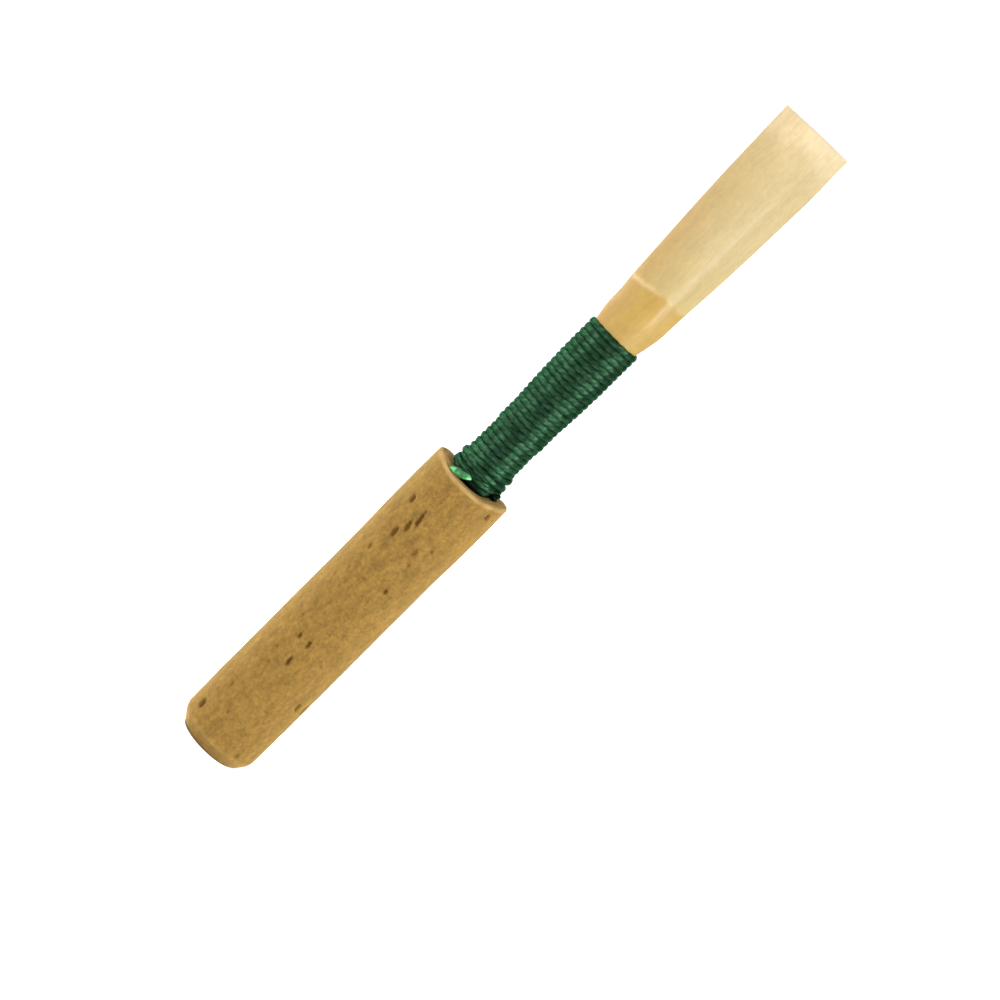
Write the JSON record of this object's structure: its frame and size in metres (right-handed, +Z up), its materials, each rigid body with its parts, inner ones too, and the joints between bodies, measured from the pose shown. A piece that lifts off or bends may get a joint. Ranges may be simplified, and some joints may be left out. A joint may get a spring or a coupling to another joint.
{
  "type": "oboe reed",
  "caption": "Double reed for an oboe: two cane blades bound with thread to a tapered metal staple that wears a cork sleeve.",
  "frame": {"origin": "centre of the staple's lower end, on the bore's axis", "axes": "+Z up the bore to the blades' tip, +X across the blades' width, -Y out of the front blade"},
  "size_m": [0.0074, 0.0074, 0.0695],
  "materials": {
    "staple_brass": "drawn brass tube, slightly dulled",
    "cork": "sanded natural cork with dark pits",
    "cane": "scraped cane, glossy bark near the thread",
    "thread": "dark green nylon thread, slightly shiny",
    "thread_end": "bright green cut end of the nylon thread"
  },
  "bodies": {
    "root": {"staple": "staple_brass", "cork_sleeve": "cork", "front_blade": "cane", "back_blade": "cane", "thread_winding": "thread", "thread_hitches": "thread", "thread_tail": "thread_end"}
  },
  "joints": []
}
